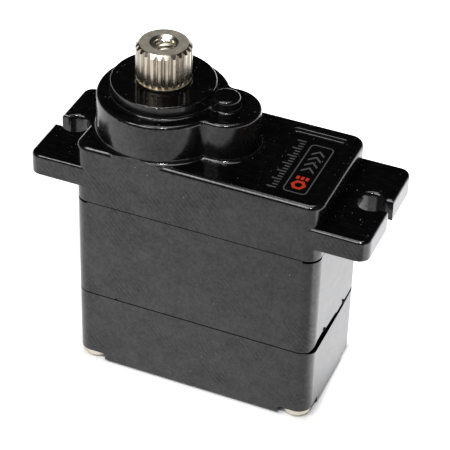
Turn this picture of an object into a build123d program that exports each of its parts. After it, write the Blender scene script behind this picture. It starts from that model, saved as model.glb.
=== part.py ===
from build123d import *
import os
from math import acos, cos, pi, radians, sin, sqrt, tan

# Micro metal-gear servo motor. Millimetres, +Z up.
# The origin is on the output shaft's axis, on the underside of the case.
# +X runs along the case from the output shaft towards the motor.

os.makedirs("parts", exist_ok=True)

# ---------------------------------------------------------------- driving dimensions
# case
body_length = 22.8
body_depth = 11.8
body_left = -5.95
body_right = body_left + body_length
body_middle = body_left + body_length / 2
corner_radius = 1.3
wall = 1.0
edge_round = 0.50
lower_seam_bevel = 0.11
upper_seam_bevel = 0.08
lower_seam = 7.85
upper_seam = 18.1
deck_top = 23.9
floor_top = 1.1
foot_chamfer = 0.35

# mounting tabs
tab_bottom = 19.7
tab_top = 21.7
tab_span = 31.4
tab_corner = 1.0
tab_edge_round = 0.35
hole_spacing = 27.9
hole_radius = 1.2
slot_width = 1.4
slot_corner_round = 0.35

# bosses on the deck
boss_radius = 5.88
boss_top = 27.6
boss_draft = 1.0
small_boss_radius = 3.12
boss_foot_round = 0.40
boss_valley_round = 0.7
boss_rim_round = 0.32
disc_radius = 4.6
disc_top = 28.8
disc_rim_round = 0.12
disc_foot_round = 0.22
post_radius = 1.22
post_top = 28.7
post_rim_round = 0.28
web_top = 28.45
web_valley_round = 0.35

# shafts
pin_x = 5.85
motor_x = 11.35
pin_radius = 0.5
motor_shaft_radius = 0.5
output_stub_radius = 0.9
running_gap = 0.03
tight_gap = 0.01
cut_past = 0.1
slab = 0.5
bore_play = 0.05

# output shaft and spline
shaft_top = 32.4
neck_radius = 2.4
shaft_hole_radius = 2.55
spline_teeth = 24
spline_tip_radius = 2.45
spline_root_radius = 2.18
spline_bottom = 29.05
spline_bevel_height = 0.32
spline_bevel_radius = 2.12
horn_hole_radius = 1.0
horn_hole_depth = 6.4
countersink_radius = 1.25
countersink_depth = 0.22

# gear train: (teeth, module) pairs share one centre distance per stage
fast_module = 0.25
slow_module = 0.3
motor_pinion_teeth = 9
first_wheel_teeth = 35
first_pinion_teeth = 10
second_wheel_teeth = 29
second_pinion_teeth = 12
third_wheel_teeth = 27
third_pinion_teeth = 10
output_wheel_teeth = 29
pinion_shift = 0.4
second_stage_shift = 0.3
pressure_angle = radians(20)
tip_height = 0.9
root_depth = 1.25
backlash = 0.03

# heights along the gear train
plate_bottom = 17.1
first_wheel_bottom = 18.5
first_wheel_top = 19.5
first_pinion_top = 21.0
second_wheel_bottom = 19.75
second_wheel_top = 20.85
second_pinion_top = 22.5
third_wheel_bottom = 21.25
third_wheel_top = 22.45
third_pinion_top = 25.35
output_wheel_bottom = 22.8
output_wheel_top = 25.4
deck_ceiling = deck_top - wall
boss_ceiling = 25.9

# bearing round the output shaft
bearing_bore = 2.5
bearing_radius = 4.0
bearing_bottom = 25.85
bearing_height = 2.5
bearing_middle = bearing_bottom + bearing_height / 2
ball_radius = 0.55
ball_circle = 3.25
ball_count = 9

# motor
motor_radius = 4.5
motor_bottom = 5.6
motor_top = 16.9
can_wall = 0.35
motor_boss_radius = 1.55

# potentiometer
pot_radius = 4.3
pot_bottom = 12.4
pot_top = 16.6

# circuit board and screws
board_bottom = 2.2
board_thickness = 0.8
board_top = board_bottom + board_thickness
screw_inset = 1.45
screw_radius = 0.7
screw_head_radius = 1.3
column_radius = 1.35
pocket_length = 2.8
pocket_depth = 2.75
pocket_height = 1.0
pocket_round = 0.25
screw_tip = 21.0
screw_head_bottom = 0.12
screw_head_round = 0.4
screw_point_bevel = 0.35
cross_length = 1.5
cross_width = 0.32
cross_depth = 0.6

screw_spots = [
    (x, y)
    for x in (body_left + screw_inset, body_right - screw_inset)
    for y in (-body_depth / 2 + screw_inset, body_depth / 2 - screw_inset)
]
left_screw_spots = screw_spots[:2]


# ---------------------------------------------------------------- helpers
def polar(radius, angle):
    """Point at a radius and an angle in radians."""
    return (radius * cos(angle), radius * sin(angle))


def gear_face(teeth, module, shift, tooth_degrees):
    """Involute spur gear outline with one tooth centred on tooth_degrees."""
    pitch_radius = module * teeth / 2
    base_radius = pitch_radius * cos(pressure_angle)
    tip_radius = pitch_radius + module * (tip_height + shift)
    root_radius = pitch_radius - module * (root_depth - shift)
    start_radius = max(base_radius, root_radius)
    thickness = module * (pi / 2 + 2 * shift * tan(pressure_angle)) - backlash
    half_at_base = thickness / (2 * pitch_radius) + tan(pressure_angle) - pressure_angle

    def half_width(radius):
        """Half of the tooth's angle at a radius on the involute."""
        roll = acos(min(1.0, base_radius / radius))
        return half_at_base - (tan(roll) - roll)

    middle_radius = (start_radius + tip_radius) / 2
    pitch_angle = 2 * pi / teeth
    with BuildSketch() as face:
        with BuildLine():
            for tooth in range(teeth):
                axis = radians(tooth_degrees) + tooth * pitch_angle
                rising = [
                    polar(radius, axis - half_width(radius))
                    for radius in (start_radius, middle_radius, tip_radius)
                ]
                falling = [
                    polar(radius, axis + half_width(radius))
                    for radius in (tip_radius, middle_radius, start_radius)
                ]
                foot_half = half_width(start_radius)
                foot_in = polar(root_radius, axis - foot_half)
                foot_out = polar(root_radius, axis + foot_half)
                next_foot = polar(root_radius, axis + pitch_angle - foot_half)
                if root_radius < start_radius:
                    Line(foot_in, rising[0])
                ThreePointArc(*rising)
                ThreePointArc(rising[2], polar(tip_radius, axis), falling[0])
                ThreePointArc(*falling)
                if root_radius < start_radius:
                    Line(falling[2], foot_out)
                ThreePointArc(foot_out, polar(root_radius, axis + pitch_angle / 2), next_foot)
        make_face()
    return face.sketch


def body_outline(inset=0.0, mode=Mode.ADD):
    """Rounded rectangle of the case, drawn in the sketch that calls it."""
    with Locations((body_middle, 0)):
        RectangleRounded(
            body_length - 2 * inset,
            body_depth - 2 * inset,
            max(corner_radius - inset, 0.4),
            mode=mode,
        )


def tube(bottom, top, outer, inner, x=0.0):
    """Upright tube centred on (x, 0), added to the part that calls it."""
    with BuildSketch(Plane.XY.offset(bottom)) as ring:
        with Locations((x, 0)):
            Circle(outer)
            if inner > 0:
                Circle(inner, mode=Mode.SUBTRACT)
    extrude(ring.sketch, amount=top - bottom)


def write(builder, name):
    """Label one finished piece and write its STEP file."""
    builder.part.label = name
    export_step(builder.part, f"parts/{name}.step")


# ---------------------------------------------------------------- bottom case
lip_width = 0.45
lip_height = 0.7
front_lip_length = 15.0
end_lip_length = 5.6
exit_half_width = 1.9
exit_bottom = 4.9
pad_length = 3.6
pad_depth = 3.5
lip_root = 0.6
screw_clearance = 0.05
# the lower seam stands open at one corner of the motor end and closes towards the other
seam_gap_reach = wall - lip_width
seam_gap_start = 0.3
seam_gap_wide = -body_depth / 2 + 1.5
seam_gap_narrow = 1.3
seam_gap_below = 0.48
seam_gap_above = 0.75
seam_gap_end = 0.04

lip_y = body_depth / 2 - wall + lip_width / 2
lip_x = body_right - wall + lip_width / 2

with BuildPart() as bottom_case:
    with BuildSketch():
        body_outline()
    extrude(amount=lower_seam)
    chamfer(bottom_case.faces().sort_by(Axis.Z)[0].edges(), foot_chamfer)
    # inside, leaving a square pad and a round column at each corner
    with BuildSketch(Plane.XY.offset(floor_top)):
        body_outline(wall)
        with Locations(*screw_spots):
            Rectangle(pad_length, pad_depth, mode=Mode.SUBTRACT)
    extrude(amount=board_bottom - floor_top, mode=Mode.SUBTRACT)
    with BuildSketch(Plane.XY.offset(board_bottom)):
        body_outline(wall)
        with Locations(*screw_spots):
            Circle(column_radius, mode=Mode.SUBTRACT)
    extrude(amount=lower_seam - board_bottom, mode=Mode.SUBTRACT)
    # open pockets for the screw heads at the four bottom corners
    for start in (body_depth / 2 - pocket_depth, -body_depth / 2):
        for side in (-1, 1):
            end_x = body_middle + side * (body_length / 2 + slab)
            inner_x = body_middle + side * (body_length / 2 - pocket_length)
            with BuildSketch(Plane.XZ.offset(start)) as pocket:
                Polygon(
                    (end_x, pocket_height),
                    (inner_x, pocket_height),
                    (inner_x, pocket_round),
                    (inner_x - side * pocket_round, 0),
                    (inner_x - side * pocket_round, -cut_past),
                    (end_x, -cut_past),
                    align=None,
                )
                inner_corners = pocket.vertices().filter_by_position(
                    Axis.X, inner_x - 0.01, inner_x + 0.01
                )
                fillet(inner_corners, pocket_round)
            extrude(amount=pocket_depth, mode=Mode.SUBTRACT)
    with BuildSketch():
        with Locations(*screw_spots):
            Circle(screw_radius + screw_clearance)
    extrude(amount=lower_seam, mode=Mode.SUBTRACT)
    # lips that locate the middle case
    with BuildSketch(Plane.XY.offset(lower_seam - lip_root)):
        with Locations((body_middle, lip_y), (body_middle, -lip_y)):
            Rectangle(front_lip_length, lip_width)
        with Locations((lip_x, 0)):
            Rectangle(lip_width, end_lip_length)
    extrude(amount=lip_height + lip_root)
    # slot for the lead's grommet in the end wall beside the output shaft
    with BuildSketch(Plane.YZ.offset(body_left - slab)):
        with Locations((0, (exit_bottom + lower_seam + 1) / 2)):
            Rectangle(2 * exit_half_width, lower_seam + 1 - exit_bottom)
    extrude(amount=wall + slab + cut_past, mode=Mode.SUBTRACT)
    # lower half of the open seam
    with BuildSketch(Plane.YZ.offset(body_right - seam_gap_reach)):
        Polygon(
            (-body_depth / 2 - cut_past, lower_seam + cut_past),
            (-body_depth / 2 - cut_past, lower_seam - seam_gap_end),
            (-body_depth / 2 + seam_gap_start, lower_seam - 2 * seam_gap_end),
            (seam_gap_wide, lower_seam - seam_gap_below),
            (seam_gap_narrow + 1, lower_seam - seam_gap_below),
            (body_depth / 2 - corner_radius, lower_seam - seam_gap_below / 2),
            (body_depth / 2, lower_seam - seam_gap_end),
            (body_depth / 2, lower_seam + cut_past),
            align=None,
        )
    extrude(amount=seam_gap_reach + 1, mode=Mode.SUBTRACT)
write(bottom_case, "bottom_case")

# ---------------------------------------------------------------- middle case
bay_play = 0.02
bay_radius = motor_radius + bay_play
pot_bay_right = 4.6
bush_radius = 1.4
lip_clearance = 0.05
pin_boss_radius = 0.95
pin_boss_height = 0.9
corner_gap_height = 0.16
corner_gap_reach = 0.5
chip_x = -1.9
chip_radius = 0.16
seam_step_run = 0.1
seam_first_step = seam_gap_wide + 2.0
seam_first_height = 0.65 * seam_gap_above
seam_second_step = seam_gap_narrow - 0.7
seam_second_height = 0.4 * seam_gap_above
seam_last_height = 0.15 * seam_gap_above

with BuildPart() as middle_case:
    with BuildSketch(Plane.XY.offset(lower_seam)):
        body_outline()
    extrude(amount=upper_seam - lower_seam)
    chamfer(middle_case.faces().sort_by(Axis.Z)[0].edges(), lower_seam_bevel)
    # bay for the potentiometer, with the two corner columns left standing
    with BuildSketch(Plane.XY.offset(lower_seam)):
        with Locations(((body_left + wall + pot_bay_right) / 2, 0)):
            Rectangle(pot_bay_right - body_left - wall, body_depth - 2 * wall)
        with Locations(*left_screw_spots):
            Circle(column_radius, mode=Mode.SUBTRACT)
    extrude(amount=plate_bottom - lower_seam, mode=Mode.SUBTRACT)
    # round bay for the motor
    with BuildSketch(Plane.XY.offset(lower_seam)):
        with Locations((motor_x, 0)):
            Circle(bay_radius)
    extrude(amount=plate_bottom - lower_seam, mode=Mode.SUBTRACT)
    # rebates for the bottom case's lips
    with BuildSketch(Plane.XY.offset(lower_seam)):
        with Locations((body_middle, lip_y), (body_middle, -lip_y)):
            Rectangle(front_lip_length + 2 * lip_clearance, lip_width + 2 * lip_clearance)
        with Locations((lip_x, 0)):
            Rectangle(lip_width + 2 * lip_clearance, end_lip_length + 2 * lip_clearance)
    extrude(amount=lip_height + lip_clearance, mode=Mode.SUBTRACT)
    # boss under the plate that holds the idler pin
    tube(plate_bottom - pin_boss_height, plate_bottom, pin_boss_radius, 0, pin_x)
    # holes through the gear plate
    with BuildSketch(Plane.XY.offset(plate_bottom - 1)):
        Circle(bush_radius)
        with Locations((motor_x, 0)):
            Circle(motor_boss_radius + bore_play)
        with Locations((pin_x, 0)):
            Circle(pin_radius + tight_gap)
    extrude(amount=upper_seam - plate_bottom + 2, mode=Mode.SUBTRACT)
    with BuildSketch(Plane.XY.offset(lower_seam)):
        with Locations(*screw_spots):
            Circle(screw_radius + screw_clearance)
    extrude(amount=upper_seam - lower_seam, mode=Mode.SUBTRACT)
    # upper half of the open seam, which narrows in two steps
    with BuildSketch(Plane.YZ.offset(body_right - seam_gap_reach - lip_clearance)):
        Polygon(
            (-body_depth / 2 + seam_gap_start, lower_seam - cut_past),
            (-body_depth / 2 + seam_gap_start, lower_seam + seam_gap_end),
            (seam_gap_wide, lower_seam + seam_gap_above),
            (seam_first_step - seam_step_run, lower_seam + seam_gap_above),
            (seam_first_step, lower_seam + seam_first_height),
            (seam_second_step - seam_step_run, lower_seam + seam_second_height),
            (seam_second_step, lower_seam + seam_last_height),
            (seam_gap_narrow, lower_seam + seam_gap_end),
            (seam_gap_narrow, lower_seam - cut_past),
            align=None,
        )
    extrude(amount=seam_gap_reach + 1, mode=Mode.SUBTRACT)
    # small chip in the front edge of the lower seam
    with Locations((chip_x, -body_depth / 2, lower_seam + chip_radius / 2)):
        Sphere(chip_radius, mode=Mode.SUBTRACT)
    # the upper seam stands slightly open round both front corners
    with BuildSketch(Plane.XY.offset(upper_seam - corner_gap_height)):
        with Locations((body_left, -body_depth / 2), (body_right, -body_depth / 2)):
            Rectangle(2 * corner_radius, 2 * corner_radius)
        body_outline(corner_gap_reach, mode=Mode.SUBTRACT)
    extrude(amount=corner_gap_height, mode=Mode.SUBTRACT)
write(middle_case, "middle_case")

# ---------------------------------------------------------------- top case
stop_inner = 4.05
stop_half_angle = 10.0
stop_clearance = 0.5
stop_arc = 22.0
stop_height = 0.45
stop_outer = boss_radius - wall + bore_play
lug_inner = 3.7
lug_outer = 4.4
lug_height = 0.4
small_boss_bore = 2.2
pin_hole_depth = 2.3
screw_hole_spare = 0.3
# three-step recess for the label: (middle, length, depth, corner radius, height)
recess_steps = (
    ((13.05, -0.12), 5.4, 9.45, 0.55, 0.11),
    ((13.05, -0.24), 4.95, 8.98, 0.40, 0.20),
)
recess_edge_round = 0.08
slab_side = 40
disc_bottom = boss_top - 0.3
label_middle = (12.9, -0.4)
label_length = 4.4
label_depth = 8.3
label_step = 0.28
label_thickness = 0.1
label_corner = 0.35
label_play = 0.05

with BuildPart() as tabs:
    with BuildSketch(Plane.XY.offset(tab_bottom)) as tab_plan:
        with Locations((body_middle, 0)):
            RectangleRounded(tab_span, body_depth, tab_corner)
        for side in (-1, 1):
            hole_x = body_middle + side * hole_spacing / 2
            slot_run = tab_span / 2 - hole_spacing / 2 + slab
            with Locations((hole_x, 0)):
                Circle(hole_radius, mode=Mode.SUBTRACT)
            with Locations((hole_x + side * slot_run / 2, 0)):
                Rectangle(slot_run, slot_width, mode=Mode.SUBTRACT)
        slot_corners = tab_plan.vertices().filter_by_position(Axis.Y, -slot_width, slot_width)
        inside_span = tab_span / 2 - cut_past
        fillet(
            slot_corners.filter_by_position(
                Axis.X, body_middle - inside_span, body_middle + inside_span
            ),
            slot_corner_round,
        )
    extrude(amount=tab_top - tab_bottom)
    fillet(tabs.faces().sort_by(Axis.Z)[-1].edges(), tab_edge_round)

with BuildPart() as bosses:
    # a wide slab gives the foot round somewhere to run out
    with BuildSketch(Plane.XY.offset(deck_top - slab)):
        Rectangle(slab_side, slab_side)
    extrude(amount=slab)
    with BuildSketch(Plane.XY.offset(deck_top - slab)) as boss_plan:
        Circle(boss_radius)
        with Locations((pin_x, 0)):
            Circle(small_boss_radius)
        fillet(boss_plan.vertices(), boss_valley_round)
    extrude(amount=boss_top - deck_top + slab, taper=boss_draft)
    foot_edges = bosses.edges().filter_by_position(Axis.Z, deck_top - 0.01, deck_top + 0.01)
    fillet(foot_edges.filter_by(GeomType.LINE, reverse=True), boss_foot_round)
    fillet(bosses.faces().sort_by(Axis.Z)[-1].edges(), boss_rim_round)
    # keep only the bosses and their foot, flush with the faces of the case
    with BuildSketch(Plane.XY.offset(deck_top - slab)) as foot_plan:
        Circle(boss_radius + boss_foot_round)
        with Locations((pin_x, 0)):
            Circle(small_boss_radius + boss_foot_round)
        body_outline(mode=Mode.INTERSECT)
    extrude(amount=boss_top, mode=Mode.INTERSECT)

# centre of the small round that fills the valley between the disc and the post
valley_from_disc = disc_radius + web_valley_round
valley_from_post = post_radius + web_valley_round
valley_x = (pin_x**2 + valley_from_disc**2 - valley_from_post**2) / (2 * pin_x)
valley_y = sqrt(valley_from_disc**2 - valley_x**2)
disc_share = disc_radius / valley_from_disc
post_share = post_radius / valley_from_post
disc_touch = (valley_x * disc_share, valley_y * disc_share)
post_touch = (pin_x + (valley_x - pin_x) * post_share, valley_y * post_share)

# raised disc over the bearing and the lower post over the idler pin
with BuildPart() as disc:
    tube(disc_bottom, disc_top, disc_radius, 0)
    fillet(disc.faces().sort_by(Axis.Z)[-1].edges(), disc_rim_round)

with BuildPart() as post:
    tube(disc_bottom, post_top, post_radius, 0, pin_x)
    fillet(post.faces().sort_by(Axis.Z)[-1].edges(), post_rim_round)

with BuildPart() as top_case:
    with BuildSketch(Plane.XY.offset(upper_seam)):
        body_outline()
    extrude(amount=deck_top - upper_seam)
    fillet(top_case.faces().sort_by(Axis.Z)[-1].edges(), edge_round)
    chamfer(top_case.faces().sort_by(Axis.Z)[0].edges(), upper_seam_bevel)
    add(tabs.part)
    add(bosses.part)
    # low web that joins the disc and the post, then the two themselves
    with BuildSketch(Plane.XY.offset(disc_bottom)):
        Circle(disc_radius)
        with Locations((pin_x, 0)):
            Circle(post_radius)
        Polygon(
            disc_touch,
            post_touch,
            (post_touch[0], -post_touch[1]),
            (disc_touch[0], -disc_touch[1]),
            align=None,
        )
        with Locations((valley_x, valley_y), (valley_x, -valley_y)):
            Circle(web_valley_round, mode=Mode.SUBTRACT)
    extrude(amount=web_top - disc_bottom)
    disc_foot = top_case.edges().filter_by_position(Axis.Z, boss_top - 0.01, boss_top + 0.01)
    fillet(disc_foot, disc_foot_round)
    add(disc.part)
    add(post.part)
    # shallow recess for the label, with rounded steps
    rim_height = deck_top
    for middle, length, depth, corner, height in recess_steps:
        with BuildSketch(Plane.XY.offset(deck_top)):
            with Locations(middle):
                RectangleRounded(length, depth, corner)
        extrude(amount=-height, mode=Mode.SUBTRACT)
        rim = top_case.edges()
        for axis, low, high in (
            (Axis.X, middle[0] - length / 2, middle[0] + length / 2),
            (Axis.Y, middle[1] - depth / 2, middle[1] + depth / 2),
            (Axis.Z, rim_height, rim_height),
        ):
            rim = rim.filter_by_position(axis, low - 0.001, high + 0.001)
        fillet(rim, recess_edge_round)
        rim_height = deck_top - height
    with BuildSketch(Plane.XY.offset(deck_top)):
        with Locations(label_middle):
            RectangleRounded(label_length, label_depth, label_corner)
    extrude(amount=-label_step, mode=Mode.SUBTRACT)
    # gear chamber, with a screw column in each corner
    with BuildSketch(Plane.XY.offset(upper_seam)):
        body_outline(wall)
        with Locations(*screw_spots):
            Circle(column_radius, mode=Mode.SUBTRACT)
    extrude(amount=deck_ceiling - upper_seam, mode=Mode.SUBTRACT)
    with BuildSketch(Plane.XY.offset(deck_ceiling)):
        Circle(boss_radius - wall)
        with Locations((pin_x, 0)):
            Circle(small_boss_bore)
    extrude(amount=boss_ceiling - deck_ceiling, mode=Mode.SUBTRACT)
    # seat of the bearing and the hole that the shaft comes out of
    with BuildSketch(Plane.XY.offset(boss_ceiling)):
        Circle(bearing_radius)
    extrude(amount=bearing_bottom + bearing_height - boss_ceiling, mode=Mode.SUBTRACT)
    with BuildSketch(Plane.XY.offset(boss_ceiling)):
        Circle(shaft_hole_radius)
    extrude(amount=disc_top - boss_ceiling, mode=Mode.SUBTRACT)
    # blind holes for the idler pin and the screws
    with BuildSketch(Plane.XY.offset(boss_ceiling)):
        with Locations((pin_x, 0)):
            Circle(pin_radius + tight_gap)
    extrude(amount=pin_hole_depth, mode=Mode.SUBTRACT)
    with BuildSketch(Plane.XY.offset(upper_seam)):
        with Locations(*screw_spots):
            Circle(screw_radius + tight_gap)
    extrude(amount=screw_tip + screw_hole_spare - upper_seam, mode=Mode.SUBTRACT)
    # two stops on the boss ceiling limit the output wheel to a half turn
    with BuildSketch(Plane.XY.offset(boss_ceiling - stop_height)):
        for side in (-1, 1):
            near = side * (90 - stop_half_angle - stop_clearance)
            far = near - side * stop_arc
            with BuildLine():
                ThreePointArc(
                    polar(stop_outer, radians(near)),
                    polar(stop_outer, radians((near + far) / 2)),
                    polar(stop_outer, radians(far)),
                )
                Line(
                    polar(stop_outer, radians(far)),
                    polar(stop_inner, radians(far)),
                )
                ThreePointArc(
                    polar(stop_inner, radians(far)),
                    polar(stop_inner, radians((near + far) / 2)),
                    polar(stop_inner, radians(near)),
                )
                Line(
                    polar(stop_inner, radians(near)),
                    polar(stop_outer, radians(near)),
                )
            make_face()
    extrude(amount=stop_height)
write(top_case, "top_case")

# ---------------------------------------------------------------- label
with BuildPart() as label:
    with BuildSketch(Plane.XY.offset(deck_top - label_step)):
        with Locations(label_middle):
            RectangleRounded(
                label_length - 2 * label_play,
                label_depth - 2 * label_play,
                label_corner - label_play,
            )
    extrude(amount=label_thickness)
write(label, "label")

# ---------------------------------------------------------------- case screws
with BuildPart() as case_screws:
    for x, y in screw_spots:
        with BuildSketch(Plane.XY.offset(screw_head_bottom)):
            with Locations((x, y)):
                Circle(screw_head_radius)
        extrude(amount=pocket_height - screw_head_bottom)
        with BuildSketch(Plane.XY.offset(pocket_height)):
            with Locations((x, y)):
                Circle(screw_radius)
        extrude(amount=screw_tip - pocket_height)
    fillet(case_screws.faces().group_by(Axis.Z)[0].edges(), screw_head_round)
    chamfer(case_screws.faces().group_by(Axis.Z)[-1].edges(), screw_point_bevel)
    # cross recess in each head
    with BuildSketch():
        with Locations(*screw_spots):
            Rectangle(cross_length, cross_width)
            Rectangle(cross_width, cross_length)
    extrude(amount=cross_depth, mode=Mode.SUBTRACT)
write(case_screws, "case_screws")

# ---------------------------------------------------------------- lead grommet
exit_height = lower_seam - exit_bottom
grommet_recess = 0.1
grommet_flange = 0.4
grommet_flange_thickness = 0.5
lead_pitch = 1.15
lead_hole_radius = 0.5
grommet_play = 0.1
with BuildPart() as lead_grommet:
    with BuildSketch(Plane.YZ.offset(body_left + grommet_recess)):
        with Locations((0, exit_bottom + exit_height / 2)):
            Rectangle(2 * exit_half_width - grommet_play, exit_height - grommet_play)
    extrude(amount=wall - grommet_recess)
    with BuildSketch(Plane.YZ.offset(body_left + wall)):
        with Locations((0, exit_bottom + exit_height / 2)):
            Rectangle(2 * (exit_half_width + grommet_flange), exit_height - grommet_play)
    extrude(amount=grommet_flange_thickness)
    with BuildSketch(Plane.YZ.offset(body_left)):
        with Locations((0, exit_bottom + exit_height / 2)):
            with GridLocations(lead_pitch, 1, 3, 1):
                Circle(lead_hole_radius)
    extrude(amount=wall + 1, mode=Mode.SUBTRACT)
write(lead_grommet, "lead_grommet")

# ---------------------------------------------------------------- output gear and spline
output_wheel = gear_face(
    output_wheel_teeth, slow_module, -pinion_shift, 180 / output_wheel_teeth
)
output_stub_bottom = 13.2
output_flat_x = 0.55
output_flat_height = 2.6
output_hub_radius = 1.6
output_shoulder_radius = 2.85
spline_foot_bevel = 0.25
spline_tip_share = 0.17
spline_root_start = 0.42
spline_root_end = 0.58
hub_bottom = second_pinion_top + 0.05
bevel_tool_radius = spline_tip_radius + 0.3
drill_point = 0.5
with BuildPart() as output_gear:
    # stub that passes through the second gear and the bush into the potentiometer
    tube(output_stub_bottom, output_wheel_bottom, output_stub_radius, 0)
    with BuildSketch(Plane.XY.offset(output_stub_bottom)):
        with Locations((output_flat_x + output_stub_radius / 2, 0)):
            Rectangle(output_stub_radius, 2 * output_stub_radius)
    extrude(amount=output_flat_height, mode=Mode.SUBTRACT)
    tube(hub_bottom, output_wheel_bottom, output_hub_radius, 0)
    with BuildSketch(Plane.XY.offset(output_wheel_bottom)):
        add(output_wheel)
    extrude(amount=output_wheel_top - output_wheel_bottom)
    tube(output_wheel_top, bearing_bottom, output_shoulder_radius, 0)
    tube(bearing_bottom, bearing_bottom + bearing_height, bearing_bore, 0)
    tube(bearing_bottom + bearing_height, spline_bottom, neck_radius, 0)
    # lug that meets the two stops of the top case
    with BuildSketch(Plane.XY.offset(output_wheel_top)):
        with BuildLine():
            Line(
                polar(lug_inner, radians(180 - stop_half_angle)),
                polar(lug_outer, radians(180 - stop_half_angle)),
            )
            ThreePointArc(
                polar(lug_outer, radians(180 - stop_half_angle)),
                (-lug_outer, 0),
                polar(lug_outer, radians(180 + stop_half_angle)),
            )
            Line(
                polar(lug_outer, radians(180 + stop_half_angle)),
                polar(lug_inner, radians(180 + stop_half_angle)),
            )
            ThreePointArc(
                polar(lug_inner, radians(180 + stop_half_angle)),
                (-lug_inner, 0),
                polar(lug_inner, radians(180 - stop_half_angle)),
            )
        make_face()
    extrude(amount=lug_height)
    # spline
    with BuildSketch(Plane.XY.offset(spline_bottom)):
        with BuildLine():
            outline = []
            for tooth in range(spline_teeth):
                axis = 2 * pi * tooth / spline_teeth
                step = 2 * pi / spline_teeth
                outline.append(polar(spline_tip_radius, axis - spline_tip_share * step))
                outline.append(polar(spline_tip_radius, axis + spline_tip_share * step))
                outline.append(polar(spline_root_radius, axis + spline_root_start * step))
                outline.append(polar(spline_root_radius, axis + spline_root_end * step))
            Polyline(*outline, close=True)
        make_face()
    extrude(amount=shaft_top - spline_bottom)
    # bevel round the top and the bottom of the teeth
    with BuildSketch(Plane.XZ):
        Polygon(
            (spline_bevel_radius, shaft_top + cut_past),
            (spline_bevel_radius, shaft_top),
            (spline_tip_radius + 0.01, shaft_top - spline_bevel_height),
            (bevel_tool_radius, shaft_top - spline_bevel_height),
            (bevel_tool_radius, shaft_top + cut_past),
            align=None,
        )
        Polygon(
            (spline_root_radius, spline_bottom),
            (spline_tip_radius + 0.01, spline_bottom + spline_foot_bevel),
            (bevel_tool_radius, spline_bottom + spline_foot_bevel),
            (bevel_tool_radius, spline_bottom),
            align=None,
        )
    revolve(axis=Axis.Z, mode=Mode.SUBTRACT)
    # tapped hole for the horn screw, with a countersunk mouth
    with BuildSketch(Plane.XZ):
        Polygon(
            (0, shaft_top + cut_past),
            (countersink_radius, shaft_top + cut_past),
            (countersink_radius, shaft_top),
            (horn_hole_radius, shaft_top - countersink_depth),
            (horn_hole_radius, shaft_top - horn_hole_depth),
            (0, shaft_top - horn_hole_depth - drill_point),
            align=None,
        )
    revolve(axis=Axis.Z, mode=Mode.SUBTRACT)
write(output_gear, "output_gear")

# ---------------------------------------------------------------- ball bearing
inner_land = 2.88
outer_land = 3.62
groove_radius = ball_radius + 0.02
cage_bottom = bearing_middle - 0.75
cage_top = bearing_middle + 0.15
cage_half_width = 0.18
cage_play = 0.03
shield_thickness = 0.12
shield_inset = 0.08
shield_play = 0.08

with BuildPart() as bearing_outer_race:
    tube(bearing_bottom, bearing_bottom + bearing_height, bearing_radius, outer_land)
    with BuildSketch(Plane.XZ):
        with Locations((ball_circle, bearing_middle)):
            Circle(groove_radius)
    revolve(axis=Axis.Z, mode=Mode.SUBTRACT)
write(bearing_outer_race, "bearing_outer_race")

with BuildPart() as bearing_inner_race:
    tube(
        bearing_bottom,
        bearing_bottom + bearing_height,
        inner_land,
        bearing_bore + tight_gap,
    )
    with BuildSketch(Plane.XZ):
        with Locations((ball_circle, bearing_middle)):
            Circle(groove_radius)
    revolve(axis=Axis.Z, mode=Mode.SUBTRACT)
write(bearing_inner_race, "bearing_inner_race")

with BuildPart() as bearing_balls:
    with Locations((0, 0, bearing_middle)):
        with PolarLocations(ball_circle, ball_count):
            Sphere(ball_radius)
write(bearing_balls, "bearing_balls")

with BuildPart() as bearing_cage:
    tube(cage_bottom, cage_top, ball_circle + cage_half_width, ball_circle - cage_half_width)
    with Locations((0, 0, bearing_middle)):
        with PolarLocations(ball_circle, ball_count):
            Sphere(ball_radius + cage_play, mode=Mode.SUBTRACT)
write(bearing_cage, "bearing_cage")

with BuildPart() as bearing_shields:
    upper_shield = bearing_bottom + bearing_height - shield_inset - shield_thickness
    for bottom in (bearing_bottom + shield_inset, upper_shield):
        tube(bottom, bottom + shield_thickness, outer_land - tight_gap, inner_land + shield_play)
write(bearing_shields, "bearing_shields")

# ---------------------------------------------------------------- gear train
bush_flange_thickness = 0.2
bush_flange_radius = 1.9
wheel_boss_radius = 1.2
wheel_boss_height = 0.15
second_hub_radius = 1.15
second_hub_bottom = upper_seam + 0.25
idler_pin_bottom = plate_bottom - 0.9
idler_pin_top = boss_ceiling + 2.2
shaft_end_chamfer = 0.1
washer_radius = 1.05
washers = (
    (upper_seam + 0.02, 0.2),
    (first_pinion_top + 0.03, 0.18),
    (third_pinion_top + 0.05, 0.2),
)
first_bore_length = 4
second_bore_length = 5
third_bore_length = 6

with BuildPart() as output_bush:
    tube(plate_bottom, upper_seam, bush_radius - tight_gap, output_stub_radius + running_gap)
    tube(
        upper_seam,
        upper_seam + bush_flange_thickness,
        bush_flange_radius,
        output_stub_radius + running_gap,
    )
write(output_bush, "output_bush")

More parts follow.
